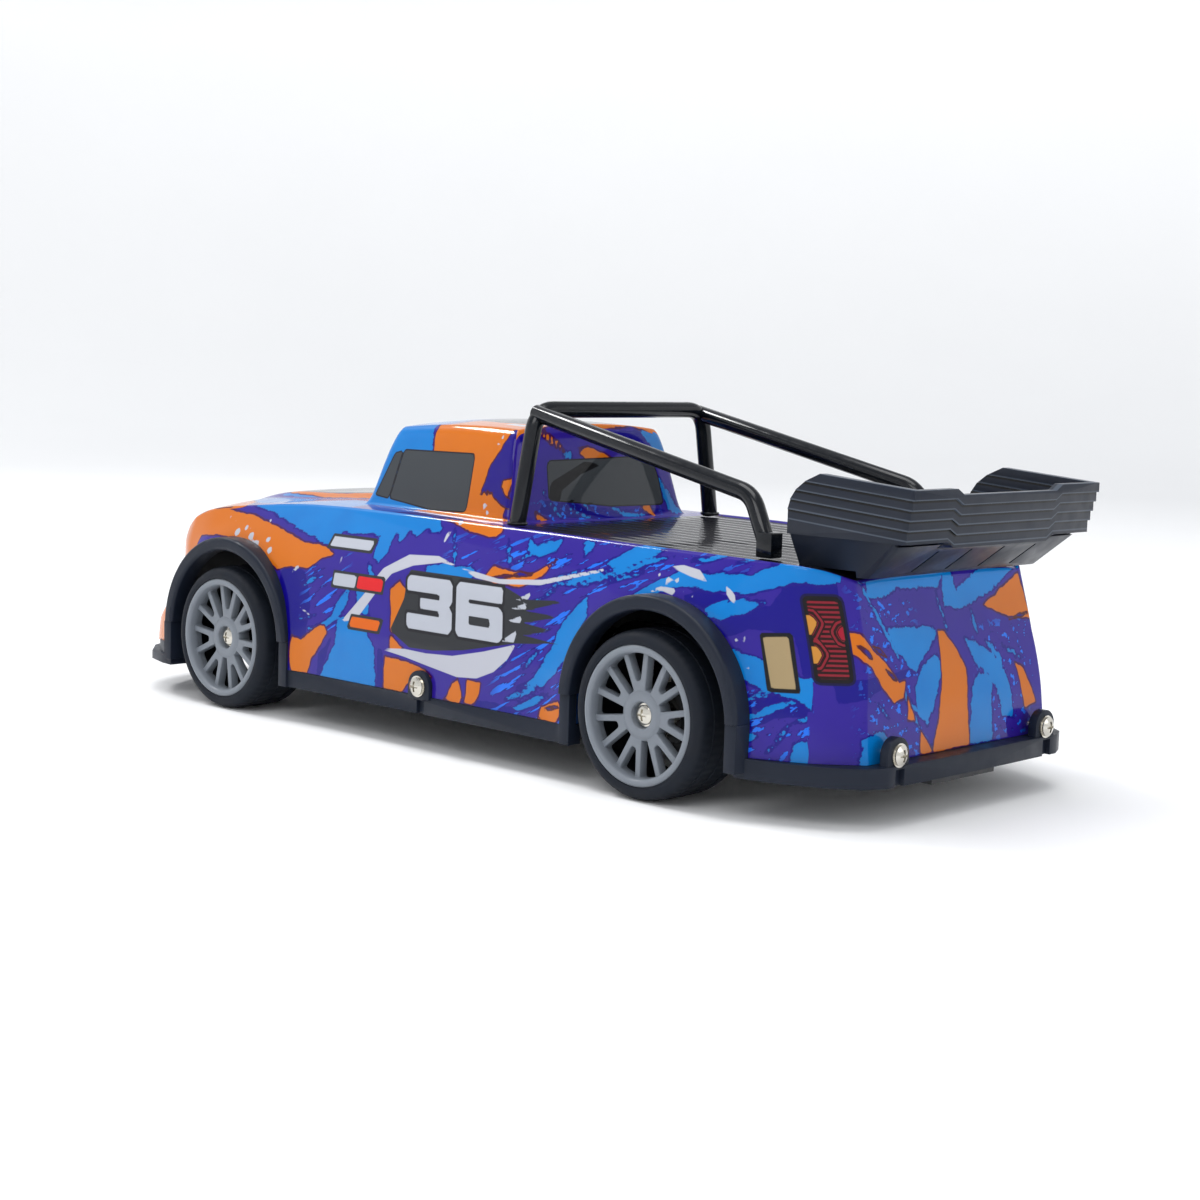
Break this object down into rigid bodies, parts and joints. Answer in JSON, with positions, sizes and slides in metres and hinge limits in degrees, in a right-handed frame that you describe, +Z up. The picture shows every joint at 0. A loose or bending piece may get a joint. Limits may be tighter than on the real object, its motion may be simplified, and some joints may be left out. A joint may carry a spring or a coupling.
{
  "type": "remote control car",
  "caption": "Small four-wheel-drive remote control pickup racer with sprung wheels, working steering, roll cage and rear wing over a closed shell",
  "frame": {"origin": "on the ground under the middle of the car's length and width", "axes": "+X to the front of the car, +Y to its left side, +Z up"},
  "size_m": [0.305, 0.122, 0.0989],
  "materials": {
    "shell_paint": "painted clear shell, race livery",
    "trim_plastic": "satin charcoal",
    "cage_plastic": "satin black",
    "screw_steel": "nickel plated",
    "chassis_plastic": "moulded black",
    "hinge_steel": "bright",
    "motor_can": "zinc plated",
    "battery_wrap": "shrink wrap",
    "electronics_case": "moulded",
    "switch_plastic": "moulded red",
    "drive_steel": "machined",
    "gear_nylon": "natural nylon",
    "arm_plastic": "moulded nylon",
    "spring_steel": "bright",
    "rim_plastic": "grey satin",
    "tyre_rubber": "soft rubber"
  },
  "bodies": {
    "chassis": {"chassis_plate": "chassis_plastic", "front_gearbox": "chassis_plastic", "rear_gearbox": "chassis_plastic", "hinge_pins": "hinge_steel", "motor": "motor_can", "battery_pack": "battery_wrap", "receiver_box": "electronics_case", "steering_servo": "electronics_case", "body_shell": "shell_paint", "front_bumper": "trim_plastic", "rear_bumper": "trim_plastic", "side_skirts": "trim_plastic", "arch_trims": "trim_plastic", "body_screws": "screw_steel", "roll_cage": "cage_plastic", "rear_wing": "cage_plastic", "spring_front_left": "spring_steel", "spring_front_right": "spring_steel", "spring_rear_left": "spring_steel", "spring_rear_right": "spring_steel"},
    "centre_drive": {"centre_shaft": "drive_steel", "spur_gear": "gear_nylon"},
    "motor_pinion": {"motor_pinion": "drive_steel"},
    "front_diff": {"front_diff_output": "drive_steel"},
    "rear_diff": {"rear_diff_output": "drive_steel"},
    "steering_rack": {"steering_rack": "arm_plastic"},
    "servo_horn": {"servo_horn": "gear_nylon"},
    "power_switch": {"power_switch": "switch_plastic"},
    "lower_arm_front_left": {"lower_arm_front_left": "arm_plastic"},
    "upper_link_front_left": {"upper_link_front_left": "arm_plastic"},
    "half_shaft_front_left": {"half_shaft_front_left": "drive_steel"},
    "hub_carrier_front_left": {"hub_carrier_front_left": "arm_plastic"},
    "wheel_front_left": {"tyre_front_left": "tyre_rubber", "rim_front_left": "rim_plastic", "wheel_axle_front_left": "drive_steel"},
    "steering_knuckle_front_left": {"steering_knuckle_front_left": "arm_plastic"},
    "tie_rod_front_left": {"tie_rod_front_left": "arm_plastic"},
    "lower_arm_front_right": {"lower_arm_front_right": "arm_plastic"},
    "upper_link_front_right": {"upper_link_front_right": "arm_plastic"},
    "half_shaft_front_right": {"half_shaft_front_right": "drive_steel"},
    "hub_carrier_front_right": {"hub_carrier_front_right": "arm_plastic"},
    "wheel_front_right": {"tyre_front_right": "tyre_rubber", "rim_front_right": "rim_plastic", "wheel_axle_front_right": "drive_steel"},
    "steering_knuckle_front_right": {"steering_knuckle_front_right": "arm_plastic"},
    "tie_rod_front_right": {"tie_rod_front_right": "arm_plastic"},
    "lower_arm_rear_left": {"lower_arm_rear_left": "arm_plastic"},
    "upper_link_rear_left": {"upper_link_rear_left": "arm_plastic"},
    "half_shaft_rear_left": {"half_shaft_rear_left": "drive_steel"},
    "hub_carrier_rear_left": {"hub_carrier_rear_left": "arm_plastic"},
    "wheel_rear_left": {"tyre_rear_left": "tyre_rubber", "rim_rear_left": "rim_plastic", "wheel_axle_rear_left": "drive_steel"},
    "lower_arm_rear_right": {"lower_arm_rear_right": "arm_plastic"},
    "upper_link_rear_right": {"upper_link_rear_right": "arm_plastic"},
    "half_shaft_rear_right": {"half_shaft_rear_right": "drive_steel"},
    "hub_carrier_rear_right": {"hub_carrier_rear_right": "arm_plastic"},
    "wheel_rear_right": {"tyre_rear_right": "tyre_rubber", "rim_rear_right": "rim_plastic", "wheel_axle_rear_right": "drive_steel"}
  },
  "joints": [
    {"name": "arm_swing_front_left", "type": "hinge", "parent": "chassis", "child": "lower_arm_front_left", "pos_m": [0.09, 0.014, 0.012], "axis": [1, 0, 0], "range_deg": [-5, 5], "stiffness_Nm_per_rad": 0.35, "springref_deg": -5.16, "deforming": ["spring_front_left"]},
    {"name": "carrier_pivot_front_left", "type": "hinge", "parent": "lower_arm_front_left", "child": "hub_carrier_front_left", "pos_m": [0.09, 0.04, 0.012], "axis": [1, 0, 0], "range_deg": [-5, 5]},
    {"name": "link_swing_front_left", "type": "hinge", "parent": "chassis", "child": "upper_link_front_left", "pos_m": [0.09, 0.014, 0.031], "axis": [1, 0, 0], "range_deg": [-5, 5]},
    {"name": "half_shaft_swing_front_left", "type": "hinge", "parent": "chassis", "child": "half_shaft_front_left", "pos_m": [0.09, 0.014, 0.022], "axis": [1, 0, 0], "range_deg": [-5, 5]},
    {"name": "steering_left", "type": "hinge", "parent": "hub_carrier_front_left", "child": "steering_knuckle_front_left", "pos_m": [0.09, 0.043, 0.022], "axis": [0, 0, 1], "range_deg": [-20, 20]},
    {"name": "tie_rod_swing_left", "type": "hinge", "parent": "steering_rack", "child": "tie_rod_front_left", "pos_m": [0.079, 0.019, 0.0172], "axis": [1, 0, 0], "range_deg": [-6, 6]},
    {"name": "wheel_spin_front_left", "type": "hinge", "parent": "steering_knuckle_front_left", "child": "wheel_front_left", "pos_m": [0.09, 0.0505, 0.022], "axis": [0, 1, 0], "continuous": true},
    {"name": "arm_swing_front_right", "type": "hinge", "parent": "chassis", "child": "lower_arm_front_right", "pos_m": [0.09, -0.014, 0.012], "axis": [-1, 0, 0], "range_deg": [-5, 5], "stiffness_Nm_per_rad": 0.35, "springref_deg": -5.16, "deforming": ["spring_front_right"]},
    {"name": "carrier_pivot_front_right", "type": "hinge", "parent": "lower_arm_front_right", "child": "hub_carrier_front_right", "pos_m": [0.09, -0.04, 0.012], "axis": [-1, 0, 0], "range_deg": [-5, 5]},
    {"name": "link_swing_front_right", "type": "hinge", "parent": "chassis", "child": "upper_link_front_right", "pos_m": [0.09, -0.014, 0.031], "axis": [-1, 0, 0], "range_deg": [-5, 5]},
    {"name": "half_shaft_swing_front_right", "type": "hinge", "parent": "chassis", "child": "half_shaft_front_right", "pos_m": [0.09, -0.014, 0.022], "axis": [-1, 0, 0], "range_deg": [-5, 5]},
    {"name": "steering_right", "type": "hinge", "parent": "hub_carrier_front_right", "child": "steering_knuckle_front_right", "pos_m": [0.09, -0.043, 0.022], "axis": [0, 0, 1], "range_deg": [-20, 20]},
    {"name": "tie_rod_swing_right", "type": "hinge", "parent": "steering_rack", "child": "tie_rod_front_right", "pos_m": [0.079, -0.019, 0.0172], "axis": [-1, 0, 0], "range_deg": [-6, 6]},
    {"name": "wheel_spin_front_right", "type": "hinge", "parent": "steering_knuckle_front_right", "child": "wheel_front_right", "pos_m": [0.09, -0.0505, 0.022], "axis": [0, 1, 0], "continuous": true},
    {"name": "arm_swing_rear_left", "type": "hinge", "parent": "chassis", "child": "lower_arm_rear_left", "pos_m": [-0.084, 0.014, 0.012], "axis": [1, 0, 0], "range_deg": [-5, 5], "stiffness_Nm_per_rad": 0.35, "springref_deg": -5.16, "deforming": ["spring_rear_left"]},
    {"name": "carrier_pivot_rear_left", "type": "hinge", "parent": "lower_arm_rear_left", "child": "hub_carrier_rear_left", "pos_m": [-0.084, 0.04, 0.012], "axis": [1, 0, 0], "range_deg": [-5, 5]},
    {"name": "link_swing_rear_left", "type": "hinge", "parent": "chassis", "child": "upper_link_rear_left", "pos_m": [-0.084, 0.014, 0.031], "axis": [1, 0, 0], "range_deg": [-5, 5]},
    {"name": "half_shaft_swing_rear_left", "type": "hinge", "parent": "chassis", "child": "half_shaft_rear_left", "pos_m": [-0.084, 0.014, 0.022], "axis": [1, 0, 0], "range_deg": [-5, 5]},
    {"name": "wheel_spin_rear_left", "type": "hinge", "parent": "hub_carrier_rear_left", "child": "wheel_rear_left", "pos_m": [-0.084, 0.0505, 0.022], "axis": [0, 1, 0], "continuous": true},
    {"name": "arm_swing_rear_right", "type": "hinge", "parent": "chassis", "child": "lower_arm_rear_right", "pos_m": [-0.084, -0.014, 0.012], "axis": [-1, 0, 0], "range_deg": [-5, 5], "stiffness_Nm_per_rad": 0.35, "springref_deg": -5.16, "deforming": ["spring_rear_right"]},
    {"name": "carrier_pivot_rear_right", "type": "hinge", "parent": "lower_arm_rear_right", "child": "hub_carrier_rear_right", "pos_m": [-0.084, -0.04, 0.012], "axis": [-1, 0, 0], "range_deg": [-5, 5]},
    {"name": "link_swing_rear_right", "type": "hinge", "parent": "chassis", "child": "upper_link_rear_right", "pos_m": [-0.084, -0.014, 0.031], "axis": [-1, 0, 0], "range_deg": [-5, 5]},
    {"name": "half_shaft_swing_rear_right", "type": "hinge", "parent": "chassis", "child": "half_shaft_rear_right", "pos_m": [-0.084, -0.014, 0.022], "axis": [-1, 0, 0], "range_deg": [-5, 5]},
    {"name": "wheel_spin_rear_right", "type": "hinge", "parent": "hub_carrier_rear_right", "child": "wheel_rear_right", "pos_m": [-0.084, -0.0505, 0.022], "axis": [0, 1, 0], "continuous": true},
    {"name": "centre_drive_spin", "type": "hinge", "parent": "chassis", "child": "centre_drive", "pos_m": [0, 0, 0.022], "axis": [1, 0, 0], "continuous": true},
    {"name": "pinion_spin", "type": "hinge", "parent": "chassis", "child": "motor_pinion", "pos_m": [-0.05, -0.01427, 0.022], "axis": [1, 0, 0], "continuous": true},
    {"name": "front_diff_spin", "type": "hinge", "parent": "chassis", "child": "front_diff", "pos_m": [0.09, 0, 0.022], "axis": [0, 1, 0], "continuous": true},
    {"name": "rear_diff_spin", "type": "hinge", "parent": "chassis", "child": "rear_diff", "pos_m": [-0.084, 0, 0.022], "axis": [0, 1, 0], "continuous": true},
    {"name": "rack_slide", "type": "slide", "parent": "chassis", "child": "steering_rack", "axis": [0, -1, 0], "range_m": [-0.00384, 0.00384]},
    {"name": "horn_swing", "type": "hinge", "parent": "chassis", "child": "servo_horn", "pos_m": [0.057, -0.022, 0.03], "axis": [0, 0, -1], "range_deg": [-20, 20]},
    {"name": "power_switch_slide", "type": "slide", "parent": "chassis", "child": "power_switch", "axis": [1, 0, 0], "range_m": [0, 0.0041]}
  ],
  "couplings": [
    {"joint": "carrier_pivot_front_left", "follows": "arm_swing_front_left", "ratio": -1},
    {"joint": "link_swing_front_left", "follows": "arm_swing_front_left", "ratio": 1},
    {"joint": "half_shaft_swing_front_left", "follows": "arm_swing_front_left", "ratio": 0.89655},
    {"joint": "tie_rod_swing_left", "follows": "arm_swing_front_left", "ratio": 1.0833},
    {"joint": "wheel_spin_front_left", "follows": "wheel_spin_rear_left", "ratio": 1},
    {"joint": "carrier_pivot_front_right", "follows": "arm_swing_front_right", "ratio": -1},
    {"joint": "link_swing_front_right", "follows": "arm_swing_front_right", "ratio": 1},
    {"joint": "half_shaft_swing_front_right", "follows": "arm_swing_front_right", "ratio": 0.89655},
    {"joint": "tie_rod_swing_right", "follows": "arm_swing_front_right", "ratio": 1.0833},
    {"joint": "wheel_spin_front_right", "follows": "wheel_spin_rear_left", "ratio": 1},
    {"joint": "carrier_pivot_rear_left", "follows": "arm_swing_rear_left", "ratio": -1},
    {"joint": "link_swing_rear_left", "follows": "arm_swing_rear_left", "ratio": 1},
    {"joint": "half_shaft_swing_rear_left", "follows": "arm_swing_rear_left", "ratio": 1},
    {"joint": "carrier_pivot_rear_right", "follows": "arm_swing_rear_right", "ratio": -1},
    {"joint": "link_swing_rear_right", "follows": "arm_swing_rear_right", "ratio": 1},
    {"joint": "half_shaft_swing_rear_right", "follows": "arm_swing_rear_right", "ratio": 1},
    {"joint": "wheel_spin_rear_right", "follows": "wheel_spin_rear_left", "ratio": 1},
    {"joint": "centre_drive_spin", "follows": "wheel_spin_rear_left", "ratio": 3},
    {"joint": "pinion_spin", "follows": "wheel_spin_rear_left", "ratio": -8.4},
    {"joint": "front_diff_spin", "follows": "wheel_spin_rear_left", "ratio": 1},
    {"joint": "rear_diff_spin", "follows": "wheel_spin_rear_left", "ratio": 1},
    {"joint": "steering_right", "follows": "steering_left", "ratio": 1},
    {"joint": "rack_slide", "follows": "steering_left", "m_per_rad": 0.011},
    {"joint": "horn_swing", "follows": "steering_left", "ratio": 1}
  ]
}
